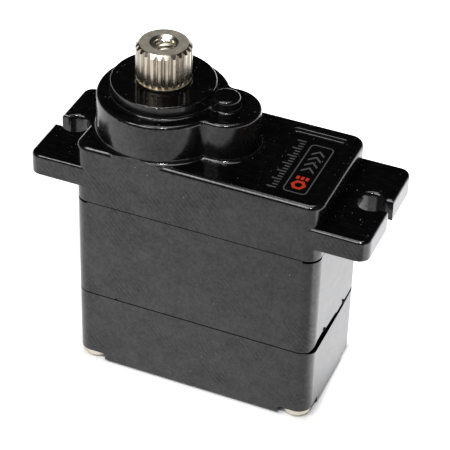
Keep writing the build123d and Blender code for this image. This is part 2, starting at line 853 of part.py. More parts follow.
first_wheel = gear_face(first_wheel_teeth, fast_module, -pinion_shift, 180 / first_wheel_teeth)
first_pinion = gear_face(first_pinion_teeth, slow_module, pinion_shift, 180)
with BuildPart() as first_gear:
    tube(first_wheel_bottom - wheel_boss_height, first_wheel_bottom, wheel_boss_radius, 0, pin_x)
    with BuildSketch(Plane.XY.offset(first_wheel_bottom)):
        with Locations((pin_x, 0)):
            add(first_wheel)
    extrude(amount=first_wheel_top - first_wheel_bottom)
    with BuildSketch(Plane.XY.offset(first_wheel_top)):
        with Locations((pin_x, 0)):
            add(first_pinion)
    extrude(amount=first_pinion_top - first_wheel_top)
    with BuildSketch(Plane.XY.offset(first_wheel_bottom - slab)):
        with Locations((pin_x, 0)):
            Circle(pin_radius + running_gap)
    extrude(amount=first_bore_length, mode=Mode.SUBTRACT)
write(first_gear, "first_gear")

second_wheel = gear_face(
    second_wheel_teeth, slow_module, -pinion_shift, 180 / second_wheel_teeth
)
second_pinion = gear_face(second_pinion_teeth, slow_module, second_stage_shift, 0)
with BuildPart() as second_gear:
    tube(second_hub_bottom, second_wheel_bottom, second_hub_radius, 0)
    with BuildSketch(Plane.XY.offset(second_wheel_bottom)):
        add(second_wheel)
    extrude(amount=second_wheel_top - second_wheel_bottom)
    with BuildSketch(Plane.XY.offset(second_wheel_top)):
        add(second_pinion)
    extrude(amount=second_pinion_top - second_wheel_top)
    with BuildSketch(Plane.XY.offset(upper_seam)):
        Circle(output_stub_radius + running_gap)
    extrude(amount=second_bore_length, mode=Mode.SUBTRACT)
write(second_gear, "second_gear")

third_wheel = gear_face(
    third_wheel_teeth, slow_module, -second_stage_shift, 180 + 180 / third_wheel_teeth
)
third_pinion = gear_face(third_pinion_teeth, slow_module, pinion_shift, 180)
with BuildPart() as third_gear:
    with BuildSketch(Plane.XY.offset(third_wheel_bottom)):
        with Locations((pin_x, 0)):
            add(third_wheel)
    extrude(amount=third_wheel_top - third_wheel_bottom)
    with BuildSketch(Plane.XY.offset(third_wheel_top)):
        with Locations((pin_x, 0)):
            add(third_pinion)
    extrude(amount=third_pinion_top - third_wheel_top)
    with BuildSketch(Plane.XY.offset(third_wheel_bottom - slab)):
        with Locations((pin_x, 0)):
            Circle(pin_radius + running_gap)
    extrude(amount=third_bore_length, mode=Mode.SUBTRACT)
write(third_gear, "third_gear")

with BuildPart() as idler_pin:
    tube(idler_pin_bottom, idler_pin_top, pin_radius, 0, pin_x)
    chamfer(idler_pin.edges().filter_by(GeomType.CIRCLE), shaft_end_chamfer)
write(idler_pin, "idler_pin")

with BuildPart() as idler_washers:
    for bottom, thickness in washers:
        tube(bottom, bottom + thickness, washer_radius, pin_radius + running_gap, pin_x)
write(idler_washers, "idler_washers")

# ---------------------------------------------------------------- motor
pinion_length = 1.7
pinion_bottom = first_wheel_bottom - 0.25
shaft_bottom = motor_bottom - 0.4
shaft_end = first_wheel_bottom + 1.6
can_round = 0.5
can_nose = 0.9
bush_outer = 1.15
bush_reach_top = 0.7
bush_out_top = 0.85
bush_out_bottom = 0.35
motor_pinion_face = gear_face(motor_pinion_teeth, fast_module, pinion_shift, 180)
with BuildPart() as motor_pinion:
    with BuildSketch(Plane.XY.offset(pinion_bottom)):
        with Locations((motor_x, 0)):
            add(motor_pinion_face)
            Circle(motor_shaft_radius, mode=Mode.SUBTRACT)
    extrude(amount=pinion_length)
write(motor_pinion, "motor_pinion")

with BuildPart() as motor_shaft:
    tube(shaft_bottom, shaft_end, motor_shaft_radius, 0, motor_x)
    chamfer(motor_shaft.edges().filter_by(GeomType.CIRCLE), shaft_end_chamfer)
write(motor_shaft, "motor_shaft")

with BuildPart() as motor_can:
    tube(motor_bottom, motor_top, motor_radius, 0, motor_x)
    fillet(motor_can.faces().sort_by(Axis.Z)[-1].edges(), can_round)
    tube(motor_top, motor_top + can_nose, motor_boss_radius, 0, motor_x)
    tube_inside = motor_radius - can_wall
    with BuildSketch(Plane.XY.offset(motor_bottom)):
        with Locations((motor_x, 0)):
            Circle(tube_inside)
    extrude(amount=motor_top - can_wall - motor_bottom, mode=Mode.SUBTRACT)
    with BuildSketch(Plane.XY.offset(motor_top - 1)):
        with Locations((motor_x, 0)):
            Circle(bush_outer)
    extrude(amount=2, mode=Mode.SUBTRACT)
write(motor_can, "motor_can")

rear_cap_top = motor_bottom + 1.1
cap_nose = 0.6
cap_nose_radius = 1.9
terminal_width = 1.3
terminal_thickness = 0.3
terminal_play = 0.02
terminal_offset = 2.9
with BuildPart() as motor_end_cap:
    tube(motor_bottom, rear_cap_top, tube_inside - tight_gap, bush_outer, motor_x)
    tube(motor_bottom - cap_nose, motor_bottom, cap_nose_radius, bush_outer, motor_x)
    with BuildSketch(Plane.XY.offset(motor_bottom)):
        with Locations((motor_x - terminal_offset, 0), (motor_x + terminal_offset, 0)):
            Rectangle(terminal_thickness + terminal_play, terminal_width + terminal_play)
    extrude(amount=rear_cap_top - motor_bottom, mode=Mode.SUBTRACT)
write(motor_end_cap, "motor_end_cap")

with BuildPart() as motor_bushes:
    for bottom, top in (
        (motor_top - bush_reach_top, motor_top + bush_out_top),
        (motor_bottom - bush_out_bottom, rear_cap_top),
    ):
        tube(bottom, top, bush_outer - tight_gap, motor_shaft_radius + running_gap, motor_x)
write(motor_bushes, "motor_bushes")

core_bottom = 9.2
core_top = 14.8
shoe_outer = 3.2
shoe_inner = 2.65
pole_count = 3
shoe_gap_angle = 60
shoe_gap_width = 0.5
shoe_gap_length = 2.0
core_hub_radius = 1.2
pole_width = 0.8
pole_reach = shoe_inner + 0.2
coil_overhang = 0.45
coil_place = 1.88
coil_length = 1.0
coil_width = 2.1
coil_hole_length = 1.4
coil_play = 0.02
with BuildPart() as motor_armature:
    with BuildSketch(Plane.XY.offset(core_bottom)):
        with Locations((motor_x, 0)):
            Circle(shoe_outer)
            Circle(shoe_inner, mode=Mode.SUBTRACT)
            with PolarLocations(shoe_outer, pole_count, start_angle=shoe_gap_angle):
                Rectangle(shoe_gap_length, shoe_gap_width, mode=Mode.SUBTRACT)
            Circle(core_hub_radius)
            with PolarLocations(pole_reach / 2, pole_count):
                Rectangle(pole_reach, pole_width)
            Circle(motor_shaft_radius, mode=Mode.SUBTRACT)
    extrude(amount=core_top - core_bottom)
write(motor_armature, "motor_armature")

with BuildPart() as motor_windings:
    with BuildSketch(Plane.XY.offset(core_bottom - coil_overhang)):
        with Locations((motor_x, 0)):
            with PolarLocations(coil_place, pole_count):
                Rectangle(coil_length, coil_width)
    extrude(amount=core_top - core_bottom + 2 * coil_overhang)
    with BuildSketch(Plane.XY.offset(core_bottom - coil_play)):
        with Locations((motor_x, 0)):
            with PolarLocations(coil_place, pole_count):
                Rectangle(coil_hole_length, pole_width + 2 * coil_play)
    extrude(amount=core_top - core_bottom + 2 * coil_play, mode=Mode.SUBTRACT)
write(motor_windings, "motor_windings")

commutator_bottom = 7.2
commutator_top = 8.4
commutator_radius = 1.1
sleeve_radius = 0.8
sleeve_overhang = 0.15
segment_gap = 0.12
segment_gap_place = 1.0
segment_gap_length = 0.7
magnet_overhang = 0.5
magnet_bore = 3.4
magnet_split = 3.0
brush_thickness = 0.22
brush_width = 1.3
brush_height = 0.6
brush_lift = 0.25
brush_place = 1.24
arm_length = 1.44
arm_thickness = 0.2
arm_place = (2.02, 0.55)
terminal_below_board = 0.3
terminal_top = commutator_bottom + 0.85
with BuildPart() as motor_commutator:
    with BuildSketch(Plane.XY.offset(commutator_bottom)):
        with Locations((motor_x, 0)):
            Circle(commutator_radius)
            Circle(sleeve_radius, mode=Mode.SUBTRACT)
            with PolarLocations(segment_gap_place, pole_count, start_angle=shoe_gap_angle):
                Rectangle(segment_gap_length, segment_gap, mode=Mode.SUBTRACT)
    extrude(amount=commutator_top - commutator_bottom)
write(motor_commutator, "motor_commutator")

with BuildPart() as commutator_sleeve:
    tube(
        commutator_bottom - sleeve_overhang,
        commutator_top + sleeve_overhang,
        sleeve_radius,
        motor_shaft_radius,
        motor_x,
    )
write(commutator_sleeve, "commutator_sleeve")

with BuildPart() as motor_magnets:
    with BuildSketch(Plane.XY.offset(core_bottom - magnet_overhang)):
        with Locations((motor_x, 0)):
            Circle(tube_inside - tight_gap)
            Circle(magnet_bore, mode=Mode.SUBTRACT)
            Rectangle(magnet_split, 2 * motor_radius, mode=Mode.SUBTRACT)
    extrude(amount=core_top - core_bottom + 2 * magnet_overhang)
write(motor_magnets, "motor_magnets")

with BuildPart() as motor_brushes:
    with BuildSketch(Plane.XY.offset(commutator_bottom + brush_lift)):
        for side in (-1, 1):
            with Locations((motor_x + side * brush_place, 0)):
                Rectangle(brush_thickness, brush_width)
            with Locations((motor_x + side * arm_place[0], side * arm_place[1])):
                Rectangle(arm_length, arm_thickness)
    extrude(amount=brush_height)
write(motor_brushes, "motor_brushes")

with BuildPart() as motor_terminals:
    for side in (-1, 1):
        with BuildSketch(Plane.XY.offset(board_bottom - terminal_below_board)):
            with Locations((motor_x + side * terminal_offset, 0)):
                Rectangle(terminal_thickness, terminal_width)
        extrude(amount=terminal_top - board_bottom + terminal_below_board)
write(motor_terminals, "motor_terminals")

# ---------------------------------------------------------------- potentiometer
pot_wall = 0.5
pot_roof = 0.6
pot_hub_radius = 1.3
pot_rotor_radius = 3.3
pot_rotor_bottom = 13.9
pot_rotor_top = 14.7
pot_hub_bottom = 13.3
pot_hub_top = 16.7
track_floor = 0.5
track_thickness = 0.05
wiper_thickness = 0.15
wiper_finger_width = 0.8
wiper_finger_bottom = 13.0
wiper_finger_thickness = 0.35
wiper_finger_reaches = (2.8, -1.6)
wiper_disc_radius = 2.2
wiper_tongue_x = 2.4
wiper_tongue_length = 1.1
track_rings = ((3.2, 2.4), (1.9, 1.3))
with BuildPart() as pot_housing:
    tube(pot_bottom, pot_top, pot_radius, 0)
    with BuildSketch(Plane.XY.offset(pot_bottom)):
        Circle(pot_radius - pot_wall)
    extrude(amount=pot_top - pot_roof - pot_bottom, mode=Mode.SUBTRACT)
    with BuildSketch(Plane.XY.offset(pot_bottom)):
        Circle(pot_hub_radius + bore_play)
    extrude(amount=pot_top - pot_bottom, mode=Mode.SUBTRACT)
write(pot_housing, "pot_housing")

with BuildPart() as pot_rotor:
    tube(pot_rotor_bottom, pot_rotor_top, pot_rotor_radius, 0)
    tube(pot_hub_bottom, pot_hub_top, pot_hub_radius, 0)
    flat_top = output_stub_bottom + output_flat_height
    with BuildSketch(Plane.XY.offset(pot_hub_bottom)):
        Circle(output_stub_radius + tight_gap)
        with Locations((output_flat_x + tight_gap + output_stub_radius / 2, 0)):
            Rectangle(output_stub_radius, 3 * output_stub_radius, mode=Mode.SUBTRACT)
    extrude(amount=flat_top - pot_hub_bottom, mode=Mode.SUBTRACT)
    with BuildSketch(Plane.XY.offset(flat_top)):
        Circle(output_stub_radius + tight_gap)
    extrude(amount=pot_hub_top - flat_top, mode=Mode.SUBTRACT)
write(pot_rotor, "pot_rotor")

with BuildPart() as pot_track:
    track_top = pot_bottom + track_floor
    tube(pot_bottom, track_top, pot_radius - pot_wall - tight_gap, 0)
    for outer, inner in track_rings:
        tube(track_top, track_top + track_thickness, outer, inner)
write(pot_track, "pot_track")

with BuildPart() as pot_wiper:
    # spring disc under the rotor, with a bent finger that reaches each track
    spring_bottom = pot_rotor_bottom - wiper_thickness
    tube(spring_bottom, pot_rotor_bottom, wiper_disc_radius, pot_hub_radius + bore_play)
    for reach in wiper_finger_reaches:
        with BuildSketch(Plane.XY.offset(wiper_finger_bottom)):
            with Locations((reach, 0)):
                Rectangle(wiper_finger_thickness, wiper_finger_width)
        extrude(amount=pot_rotor_bottom - wiper_finger_bottom)
    with BuildSketch(Plane.XY.offset(spring_bottom)):
        with Locations((wiper_tongue_x, 0)):
            Rectangle(wiper_tongue_length, wiper_finger_width)
    extrude(amount=wiper_thickness)
write(pot_wiper, "pot_wiper")

terminal_pitch = 2.0
terminal_x = -2.9
terminal_length = 1.6
terminal_blade = (0.3, 0.7)
with BuildPart() as pot_terminals:
    with BuildSketch(Plane.XY.offset(pot_bottom - terminal_length)):
        with Locations((terminal_x, 0)):
            with GridLocations(1, terminal_pitch, 1, 3):
                Rectangle(*terminal_blade)
    extrude(amount=terminal_length)
write(pot_terminals, "pot_terminals")

# three flexible wires from the potentiometer down to the board
wire_radius = 0.3
wire_top = pot_bottom - terminal_length
wire_bend = 2.4
wire_straight = 2.4
wire_shift = 1.8
wire_pitch_on_board = 1.5
with BuildPart() as pot_wires:
    for spot in (-1, 0, 1):
        start_y = spot * terminal_pitch
        end_y = spot * wire_pitch_on_board
        with BuildLine(Plane.XY) as route:
            FilletPolyline(
                (terminal_x, start_y, wire_top),
                (terminal_x, start_y, wire_top - wire_straight),
                (terminal_x + wire_shift, end_y, board_top + wire_straight),
                (terminal_x + wire_shift, end_y, board_top),
                radius=wire_bend,
            )
        with BuildSketch(Plane(origin=(terminal_x, start_y, wire_top), z_dir=(0, 0, -1))):
            Circle(wire_radius)
        sweep(path=route.wire())
write(pot_wires, "pot_wires")

# ---------------------------------------------------------------- circuit board
board_play = 0.4
column_play = 0.15
board_slot_play = 0.1
lead_height = 0.3
chip_lift = 0.1
chip_side = 4.0
chip_height = 0.8
chip_place = (3.2, 0)
chip_lead_pitch = 0.5
chip_lead_count = 7
chip_lead_rows = 4.3
chip_lead = (0.22, 0.7)
driver_offset = 2.6
driver_size = (3.0, 1.7)
driver_height = 0.7
driver_lead_pitch = 0.65
driver_lead_count = 4
driver_lead_rows = 1.9
driver_lead = (0.28, 0.6)
capacitor_places = ((7.2, -3.1), (7.2, 3.1), (6.9, 0))
capacitor_size = (0.8, 1.6)
capacitor_height = 0.8
resistor_middle = (4, 0)
resistor_pitch = (2.0, 2.2)
resistor_grid = (4, 3)
resistor_size = (1.0, 0.5)
resistor_height = 0.4
resonator_place = (0.2, 2.9)
resonator_size = (1.2, 2.4)
resonator_round = 0.2
resonator_height = 0.9

with BuildPart() as circuit_board:
    with BuildSketch(Plane.XY.offset(board_bottom)):
        with Locations((body_middle, 0)):
            Rectangle(body_length - 2 * wall - board_play, body_depth - 2 * wall - board_play)
        with Locations(*screw_spots):
            Circle(column_radius + column_play, mode=Mode.SUBTRACT)
        with Locations((motor_x - terminal_offset, 0), (motor_x + terminal_offset, 0)):
            Rectangle(
                terminal_thickness + board_slot_play,
                terminal_width + board_slot_play,
                mode=Mode.SUBTRACT,
            )
    extrude(amount=board_thickness)
write(circuit_board, "circuit_board")

with BuildPart() as controller_chip:
    # square package with four rows of leads
    with BuildSketch(Plane.XY.offset(board_top + chip_lift)):
        with Locations(chip_place):
            Rectangle(chip_side, chip_side)
    extrude(amount=chip_height)
    with BuildSketch(Plane.XY.offset(board_top)):
        with Locations(chip_place):
            with GridLocations(chip_lead_pitch, chip_lead_rows, chip_lead_count, 2):
                Rectangle(*chip_lead)
            with GridLocations(chip_lead_rows, chip_lead_pitch, 2, chip_lead_count):
                Rectangle(chip_lead[1], chip_lead[0])
    extrude(amount=lead_height)
write(controller_chip, "controller_chip")

with BuildPart() as driver_chips:
    # two small packages with leads on their long sides
    for y in (-driver_offset, driver_offset):
        with BuildSketch(Plane.XY.offset(board_top + chip_lift)):
            with Locations((motor_x, y)):
                Rectangle(*driver_size)
        extrude(amount=driver_height)
        with BuildSketch(Plane.XY.offset(board_top)):
            with Locations((motor_x, y)):
                with GridLocations(driver_lead_pitch, driver_lead_rows, driver_lead_count, 2):
                    Rectangle(*driver_lead)
        extrude(amount=lead_height)
write(driver_chips, "driver_chips")

with BuildPart() as board_capacitors:
    with BuildSketch(Plane.XY.offset(board_top)):
        with Locations(*capacitor_places):
            Rectangle(*capacitor_size)
    extrude(amount=capacitor_height)
write(board_capacitors, "board_capacitors")

with BuildPart() as board_resistors:
    with BuildSketch(Plane.XY.offset(board_bottom - resistor_height)):
        with Locations(resistor_middle):
            with GridLocations(*resistor_pitch, *resistor_grid):
                Rectangle(*resistor_size)
    extrude(amount=resistor_height)
write(board_resistors, "board_resistors")

with BuildPart() as resonator:
    with BuildSketch(Plane.XY.offset(board_top)):
        with Locations(resonator_place):
            RectangleRounded(*resonator_size, resonator_round)
    extrude(amount=resonator_height)
write(resonator, "resonator")
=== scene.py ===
import math
import random

import bmesh
import bpy
from mathutils import Matrix, Vector


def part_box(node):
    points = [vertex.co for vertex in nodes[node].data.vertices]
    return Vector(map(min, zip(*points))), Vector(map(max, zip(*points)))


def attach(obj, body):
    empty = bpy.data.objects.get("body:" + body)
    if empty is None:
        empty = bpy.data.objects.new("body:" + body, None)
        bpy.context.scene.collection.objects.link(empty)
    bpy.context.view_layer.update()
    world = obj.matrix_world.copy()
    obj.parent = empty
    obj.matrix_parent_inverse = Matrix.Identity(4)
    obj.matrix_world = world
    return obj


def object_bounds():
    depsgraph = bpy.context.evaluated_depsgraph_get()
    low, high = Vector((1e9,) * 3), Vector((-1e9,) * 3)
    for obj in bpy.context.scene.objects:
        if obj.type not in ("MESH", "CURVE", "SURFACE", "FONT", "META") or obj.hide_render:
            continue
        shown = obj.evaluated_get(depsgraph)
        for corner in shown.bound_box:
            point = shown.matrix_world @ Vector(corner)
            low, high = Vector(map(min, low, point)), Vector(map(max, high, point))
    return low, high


# Looks of a micro servo motor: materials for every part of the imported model, the thread in the
# horn-screw hole, the label's print and the moulding flash on the case, on a pale studio floor.
# Metres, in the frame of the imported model: +Z up, the output shaft on the Z axis, motor towards +X.

MM = 0.001

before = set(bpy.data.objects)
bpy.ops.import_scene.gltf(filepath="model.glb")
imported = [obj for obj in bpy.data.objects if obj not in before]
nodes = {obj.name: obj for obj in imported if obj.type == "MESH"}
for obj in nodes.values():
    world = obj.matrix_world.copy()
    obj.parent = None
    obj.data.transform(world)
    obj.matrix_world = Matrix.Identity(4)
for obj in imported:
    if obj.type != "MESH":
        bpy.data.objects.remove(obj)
bpy.context.view_layer.update()
cad_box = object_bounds()


# ---------------------------------------------------------------- camera
camera_azimuth = math.radians(21.694)
camera_elevation = math.radians(37.399)
camera_roll = math.radians(1.831)
camera_distance = 171.01 * MM
camera_lens = 154.075
camera_sensor = 36
clip_near = 0.01
clip_far = 10
aim_from_centre = Vector((0.80, -0.455, -0.94)) * MM


def look_at(target, azimuth, elevation, distance, roll=0.0):
    """Matrix of something that looks at a point from a direction round it and above the floor."""
    back = Vector(
        (
            math.sin(azimuth) * math.cos(elevation),
            -math.cos(azimuth) * math.cos(elevation),
            math.sin(elevation),
        )
    )
    turn = (-back).to_track_quat("-Z", "Y").to_matrix().to_4x4()
    return Matrix.Translation(target + back * distance) @ turn @ Matrix.Rotation(roll, 4, "Z")


def add_camera():
    """The camera, in front of the object and above it, with a slight roll."""
    camera = bpy.data.objects.new("camera", bpy.data.cameras.new("camera"))
    bpy.context.scene.collection.objects.link(camera)
    camera.data.sensor_width = camera_sensor
    camera.data.lens = camera_lens
    camera.data.clip_start = clip_near
    camera.data.clip_end = clip_far
    centre = (cad_box[0] + cad_box[1]) / 2
    camera.matrix_world = look_at(
        centre + aim_from_centre, camera_azimuth, camera_elevation, camera_distance, camera_roll
    )
    bpy.context.scene.camera = camera


# ---------------------------------------------------------------- material kit
class Graph:
    """A Principled material under construction."""

    def __init__(self, name, **sockets):
        self.material = bpy.data.materials.new(name)
        self.material.use_nodes = True
        self.tree = self.material.node_tree
        self.shader = self.tree.nodes["Principled BSDF"]
        for socket, value in sockets.items():
            self.shader.inputs[socket.replace("_", " ")].default_value = value

    def node(self, kind, inputs=(), **settings):
        """New node with its settings and its inputs, each a number, a tuple or another socket."""
        made = self.tree.nodes.new(kind)
        for key, value in settings.items():
            setattr(made, key, value)
        for key, value in dict(inputs).items():
            if isinstance(value, bpy.types.NodeSocket):
                self.tree.links.new(value, made.inputs[key])
            else:
                made.inputs[key].default_value = value
        return made

    def math(self, operation, a, b=0.0):
        """Result of an operation on one or two values."""
        return self.node("ShaderNodeMath", {0: a, 1: b}, operation=operation).outputs[0]

    def plus(self, a, b):
        return self.math("ADD", a, b)

    def minus(self, a, b):
        return self.math("SUBTRACT", a, b)

    def times(self, a, b):
        return self.math("MULTIPLY", a, b)

    def larger(self, a, b):
        return self.math("MAXIMUM", a, b)


class Finish(Graph):
    """Material of the part. Its patterns are in millimetres of the part."""

    def __init__(self, name, **sockets):
        super().__init__(name, **sockets)
        coordinates = self.node("ShaderNodeTexCoord")
        self.place = self.node(
            "ShaderNodeMapping",
            {"Vector": coordinates.outputs["Object"], "Scale": (1 / MM, 1 / MM, 1 / MM)},
        ).outputs["Vector"]
        self.up = self.node(
            "ShaderNodeSeparateXYZ", {"Vector": coordinates.outputs["Normal"]}
        ).outputs["Z"]
        self.height = None

    def stretched(self, turn=(0, 0, 0), scale=(1, 1, 1), offset=(0, 0, 0)):
        """Pattern space turned by degrees and scaled along each axis."""
        return self.node(
            "ShaderNodeMapping",
            {
                "Vector": self.place,
                "Rotation": [math.radians(angle) for angle in turn],
                "Scale": scale,
                "Location": offset,
            },
        ).outputs["Vector"]

    def noise(self, per_mm, detail=2.0, roughness=0.5, vector=None):
        """Noise with so many features per millimetre, from 0 to 1."""
        return self.node(
            "ShaderNodeTexNoise",
            {
                "Vector": vector or self.place,
                "Scale": per_mm,
                "Detail": detail,
                "Roughness": roughness,
            },
        ).outputs["Fac"]

    def spots(self, per_mm, radius, vector=None):
        """1 inside small round spots of a radius, as a share of the cell, and 0 outside."""
        distance = self.node(
            "ShaderNodeTexVoronoi",
            {"Vector": vector or self.place, "Scale": per_mm, "Randomness": 1.0},
        ).outputs["Distance"]
        return self.ramp(distance, radius, 0.7 * radius)

    def ramp(self, value, low, high):
        """Value mapped to 0 at low and 1 at high, clamped."""
        return self.node(
            "ShaderNodeMapRange",
            {"Value": value, "From Min": low, "From Max": high, "To Min": 0.0, "To Max": 1.0},
        ).outputs["Result"]

    def mix(self, share, a, b):
        """Colour between a and b."""
        made = self.node(
            "ShaderNodeMix", {"Factor": share}, data_type="RGBA", clamp_factor=True
        )
        # sockets 6 and 7, and output 2, are the colour ones among those of every data type
        for index, value in ((6, a), (7, b)):
            if isinstance(value, bpy.types.NodeSocket):
                self.tree.links.new(value, made.inputs[index])
            else:
                made.inputs[index].default_value = (*value, 1)
        return made.outputs[2]

    def colour(self, share, a, b):
        """Base colour that varies between a and b."""
        self.tree.links.new(self.mix(share, a, b), self.shader.inputs["Base Color"])

    def vary(self, socket, share, low, high):
        """A number of the shader that varies between low and high."""
        made = self.node("ShaderNodeMapRange", {"Value": share, "To Min": low, "To Max": high})
        self.tree.links.new(made.outputs["Result"], self.shader.inputs[socket])

    def roughness(self, share, low, high):
        self.vary("Roughness", share, low, high)

    def lustre(self, share, low, high):
        """Strength of the mirror reflection, varying between low and high."""
        self.vary("Specular IOR Level", share, low, high)

    def bump(self, height, depth_mm, strength):
        """Relief of a depth in millimetres, on top of any relief already there."""
        made = self.node(
            "ShaderNodeBump",
            {"Height": height, "Distance": depth_mm * MM, "Strength": strength},
        )
        if self.height is not None:
            self.tree.links.new(self.height, made.inputs["Normal"])
        self.height = made.outputs["Normal"]
        self.tree.links.new(self.height, self.shader.inputs["Normal"])


# ---------------------------------------------------------------- studio, in metres and watts
room_strength = 0.025
floor_half_width = 1.5
floor_cells = 8
lights_aim = Vector((0.005, 0, 0.012))

# name, azimuth, elevation, distance, width, height and power
softboxes = (
    ("overhead_softbox", 0, 88, 0.70, 0.40, 0.40, 1.7),
    ("key_softbox", -22, 50, 0.60, 0.36, 0.26, 2.2),
    ("spark", 21.7, 55, 0.60, 0.04, 0.03, 1.3),
)

paper_white = (0.93, 0.93, 0.93, 1)
paper_roughness = 0.9
paper_mirror = 0.1
lamp_white = (0.98, 0.98, 1.0, 1)

# the floor's painted glow follows two axes, turned from the case's by an angle of this cosine and
# sine
glow_cos = 0.8
glow_sin = 0.6
# painted light on the floor: in front it fades from near to far, and behind the motor end it rises to
# its full strength
painted_glow_near = 0.37
painted_glow_far = 0.00
painted_glow_end = 1.45
table_near = 0.004
table_far = 0.034
table_rise_start = 0.005
table_rise_end = 0.014
# distances from the case's wall between which the painted shadow under the object ends
contact_inside = -0.0006
contact_outside = 0.0008


def add_area_light(name, azimuth, elevation, distance, width, height, watts):
    """Rectangular softbox that faces the object from a direction round it."""
    data = bpy.data.lights.new(name, "AREA")
    data.shape = "RECTANGLE"
    data.size = width
    data.size_y = height
    data.energy = watts
    light = bpy.data.objects.new(name, data)
    bpy.context.scene.collection.objects.link(light)
    light.matrix_world = look_at(
        lights_aim, math.radians(azimuth), math.radians(elevation), distance
    )


def painted_light_floor():
    """Pale paper with painted light: its emission is brightest behind the motor end and fades in
    front, and a painted shadow leaves it dark under the object.
    """
    paper = Graph(
        "light_table_paper",
        Base_Color=paper_white,
        Roughness=paper_roughness,
        Specular_IOR_Level=paper_mirror,
        Emission_Color=lamp_white,
    )

    def smooth_ramp(value, start, end, low, high):
        return paper.node(
            "ShaderNodeMapRange",
            {"Value": value, "From Min": start, "From Max": end, "To Min": low, "To Max": high},
            interpolation_type="SMOOTHSTEP",
        ).outputs["Result"]

    def past_wall(coordinate, low, high):
        from_middle = paper.math("ABSOLUTE", paper.minus(coordinate, (low + high) / 2))
        return paper.minus(from_middle, (high - low) / 2)

    coordinates = paper.node("ShaderNodeTexCoord")
    place = paper.node("ShaderNodeSeparateXYZ", {"Vector": coordinates.outputs["Object"]})
    x = place.outputs["X"]
    y = place.outputs["Y"]
    behind = paper.plus(paper.times(x, glow_sin), paper.times(y, glow_cos))
    away = paper.minus(paper.times(x, glow_cos), paper.times(y, glow_sin))
    # painted light: the floor's emission fades away in front and rises behind the motor end
    front = smooth_ramp(away, table_near, table_far, painted_glow_near, painted_glow_far)
    glow = smooth_ramp(behind, table_rise_start, table_rise_end, front, painted_glow_end)
    # painted contact shadow: the emission fades out right under the object
    low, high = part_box("bottom_case")
    gap = paper.larger(past_wall(x, low.x, high.x), past_wall(y, low.y, high.y))
    painted_contact_shadow = smooth_ramp(gap, contact_inside, contact_outside, 0.0, 1.0)
    paper.tree.links.new(paper.times(glow, painted_contact_shadow), paper.shader.inputs["Emission Strength"])
    return paper.material


def add_studio():
    """Pale floor, dim room and soft lights. The room stays dark behind and above the object."""
    world = bpy.data.worlds.new("room")
    bpy.context.scene.world = world
    world.use_nodes = True
    background = world.node_tree.nodes["Background"]
    background.inputs["Color"].default_value = (1, 1, 1, 1)
    background.inputs["Strength"].default_value = room_strength

    mesh = bpy.data.meshes.new("floor")
    build = bmesh.new()
    bmesh.ops.create_grid(
        build, x_segments=floor_cells, y_segments=floor_cells, size=floor_half_width
    )
    build.to_mesh(mesh)
    build.free()
    floor = bpy.data.objects.new("floor", mesh)
    bpy.context.scene.collection.objects.link(floor)
    mesh.materials.append(painted_light_floor())

    for softbox in softboxes:
        add_area_light(*softbox)

    view = bpy.context.scene.view_settings
    view.view_transform = "Standard"
    view.look = "None"


# ---------------------------------------------------------------- finishes
deep_black = (0.0013, 0.0013, 0.0014)
wall_cool = (0.0045, 0.0075, 0.0120)
wall_warm = (0.0125, 0.0080, 0.0045)
smudge_grey = (0.010, 0.010, 0.010)
dust_grey = (0.50, 0.50, 0.48)
shaft_bore_radius = 1.25
shaft_chamfer_radius = 1.45


def plastic_scratches(finish):
    """Two sets of hairlines, laid at different slants across the case."""
    across = finish.noise(1.0, vector=finish.stretched((0, 38, 0), (0.35, 9.0, 9.0)))
    along = finish.noise(
        1.0, vector=finish.stretched((0, -52, 20), (0.30, 11.0, 11.0), (7, 3, 5))
    )
    return finish.larger(finish.ramp(across, 0.64, 0.74), finish.ramp(along, 0.66, 0.76))


def plastic_dust(finish, up):
    """Dust that settled on the upper faces, and a little anywhere."""
    fine = finish.times(
        finish.spots(3.0, 0.09), finish.ramp(finish.noise(0.5, 2.0), 0.50, 0.70)
    )
    coarse = finish.times(
        finish.spots(1.2, 0.055, finish.stretched(offset=(5, 5, 5))),
        finish.ramp(finish.noise(0.4, 1.0), 0.46, 0.60),
    )
    sparse = finish.times(
        finish.spots(1.1, 0.05, finish.stretched(offset=(2, 7, 1))),
        finish.ramp(finish.noise(0.3, 1.0), 0.50, 0.60),
    )
    return finish.larger(finish.times(finish.larger(fine, coarse), up), sparse)


